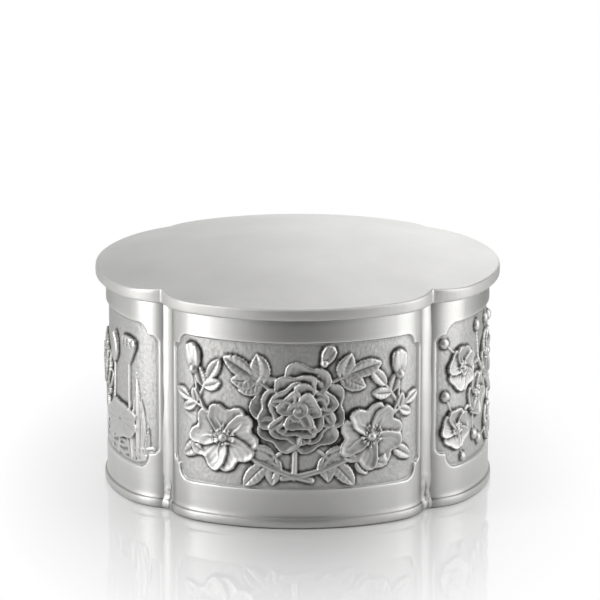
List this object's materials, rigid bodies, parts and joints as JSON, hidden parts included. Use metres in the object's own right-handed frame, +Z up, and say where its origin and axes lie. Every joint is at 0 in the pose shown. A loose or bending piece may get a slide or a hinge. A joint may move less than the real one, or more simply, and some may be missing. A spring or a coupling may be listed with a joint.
{
  "type": "rosary box",
  "caption": "Low lobed keepsake box of cast pewter with floral relief panels, a lift-off domed lid on a locating collar, a velvet lining and a felt foot.",
  "frame": {"origin": "middle of the foot's underside, on the surface that the box stands on", "axes": "+Z up, the front wall faces -Y, +X to the right of someone facing the front"},
  "size_m": [0.085, 0.085, 0.0513],
  "materials": {
    "pewter": "satin cast pewter with darkened recesses",
    "solder": "satin",
    "velvet": "short-pile velvet",
    "felt": "pressed wool felt"
  },
  "bodies": {
    "box": {"front_wall": "pewter", "right_wall": "pewter", "back_wall": "pewter", "left_wall": "pewter", "corner_solder": "solder", "base_plate": "pewter", "base_felt": "felt", "floor_pad": "velvet", "front_lining": "velvet", "right_lining": "velvet", "back_lining": "velvet", "left_lining": "velvet"},
    "lid": {"lid_plate": "pewter", "lid_collar": "pewter"}
  },
  "joints": [
    {"name": "lid_lift", "type": "slide", "parent": "box", "child": "lid", "axis": [0, 0, 1], "range_m": [0, 0.06]}
  ]
}
